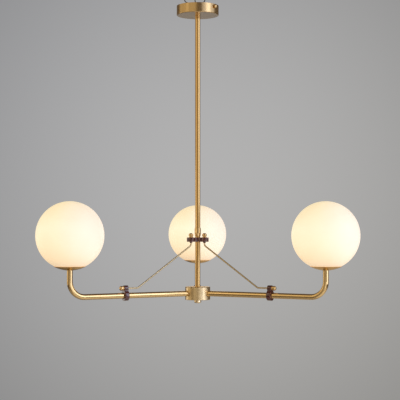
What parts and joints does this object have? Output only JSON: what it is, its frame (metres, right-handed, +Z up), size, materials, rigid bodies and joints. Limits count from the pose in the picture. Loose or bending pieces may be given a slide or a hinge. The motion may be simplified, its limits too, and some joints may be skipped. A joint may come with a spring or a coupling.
{
  "type": "branch chandelier",
  "caption": "Chandelier with opal globes on upturned brass arms round a hub, hung by a stem from a round canopy and braced by bent tie rods between a dark yoke and arm clips.",
  "frame": {"origin": "centre of the ceiling plane, on the stem axis, at the top face of the ceiling plate and the canopy's rim", "axes": "+Z up along the stem, +X along the line of the two ceiling slots, -Y to the front; one arm points to +Y, the others to the front left and front right"},
  "size_m": [0.7086, 0.6337, 0.7445],
  "materials": {
    "brushed_brass": "brushed satin",
    "polished_brass": "semi-polished",
    "rosewood": "semi-gloss, dark red-brown",
    "steel": "zinc plated",
    "opal_glass": "opal, satin, lit warm white",
    "bulb_capsule": "frosted",
    "carrier_resin": "matt",
    "holder_ceramic": "glazed ceramic look",
    "splice_resin": "matt",
    "lead_sleeve": "matt sleeve"
  },
  "bodies": {
    "fixture": {"upper_stem": "brushed_brass", "lower_stem": "brushed_brass", "hub_body": "brushed_brass", "hub_cover": "brushed_brass", "tie_rod_1": "brushed_brass", "tie_rod_2": "brushed_brass", "tie_rod_3": "brushed_brass", "arm_tube_1": "brushed_brass", "arm_tube_2": "brushed_brass", "arm_tube_3": "brushed_brass", "dish_1": "brushed_brass", "dish_2": "brushed_brass", "dish_3": "brushed_brass", "stem_coupler": "polished_brass", "yoke_nuts": "polished_brass", "clip_nuts": "polished_brass", "finial": "polished_brass", "earth_screw": "polished_brass", "tie_yoke": "rosewood", "rod_collars": "rosewood", "arm_clip_1": "rosewood", "arm_clip_2": "rosewood", "arm_clip_3": "rosewood", "mounting_plate": "steel", "hanger_nipple": "steel", "hanger_nut": "steel", "coupler_nipple": "steel", "yoke_set_screw": "steel", "clip_set_screws": "steel", "hub_nipple": "steel", "hub_lock_nut": "steel", "arm_lock_nuts": "steel", "arm_root_nipples": "steel", "arm_top_nipples": "steel", "globe_carrier_1": "carrier_resin", "globe_carrier_2": "carrier_resin", "globe_carrier_3": "carrier_resin", "lamp_holder_1": "holder_ceramic", "lamp_holder_2": "holder_ceramic", "lamp_holder_3": "holder_ceramic", "splice_caps": "splice_resin", "supply_lead_1": "lead_sleeve", "supply_lead_2": "lead_sleeve", "supply_lead_3": "lead_sleeve", "stem_leads": "lead_sleeve", "lamp_cable_1": "lead_sleeve", "lamp_cable_2": "lead_sleeve", "lamp_cable_3": "lead_sleeve"},
    "canopy": {"canopy": "brushed_brass", "canopy_screw_nuts": "steel"},
    "side_screw_right": {"canopy_screw_right": "polished_brass"},
    "side_screw_left": {"canopy_screw_left": "polished_brass"},
    "globe_1": {"globe_1": "opal_glass"},
    "bulb_1": {"bulb_1": "bulb_capsule"},
    "globe_2": {"globe_2": "opal_glass"},
    "bulb_2": {"bulb_2": "bulb_capsule"},
    "globe_3": {"globe_3": "opal_glass"},
    "bulb_3": {"bulb_3": "bulb_capsule"}
  },
  "joints": [
    {"name": "canopy_slide", "type": "slide", "parent": "fixture", "child": "canopy", "axis": [0, 0, -1], "range_m": [0, 0.49]},
    {"name": "right_screw_travel", "type": "slide", "parent": "canopy", "child": "side_screw_right", "axis": [0.788, -0.6157, 0], "range_m": [0, 0.004]},
    {"name": "left_screw_travel", "type": "slide", "parent": "canopy", "child": "side_screw_left", "axis": [-0.788, 0.6157, 0], "range_m": [0, 0.004]},
    {"name": "globe_1_lift", "type": "slide", "parent": "fixture", "child": "globe_1", "axis": [0, 0, 1], "range_m": [0, 0.1]},
    {"name": "bulb_1_pull", "type": "slide", "parent": "fixture", "child": "bulb_1", "axis": [0, 0, 1], "range_m": [0, 0.015]},
    {"name": "globe_2_lift", "type": "slide", "parent": "fixture", "child": "globe_2", "axis": [0, 0, 1], "range_m": [0, 0.1]},
    {"name": "bulb_2_pull", "type": "slide", "parent": "fixture", "child": "bulb_2", "axis": [0, 0, 1], "range_m": [0, 0.015]},
    {"name": "globe_3_lift", "type": "slide", "parent": "fixture", "child": "globe_3", "axis": [0, 0, 1], "range_m": [0, 0.1]},
    {"name": "bulb_3_pull", "type": "slide", "parent": "fixture", "child": "bulb_3", "axis": [0, 0, 1], "range_m": [0, 0.015]}
  ]
}
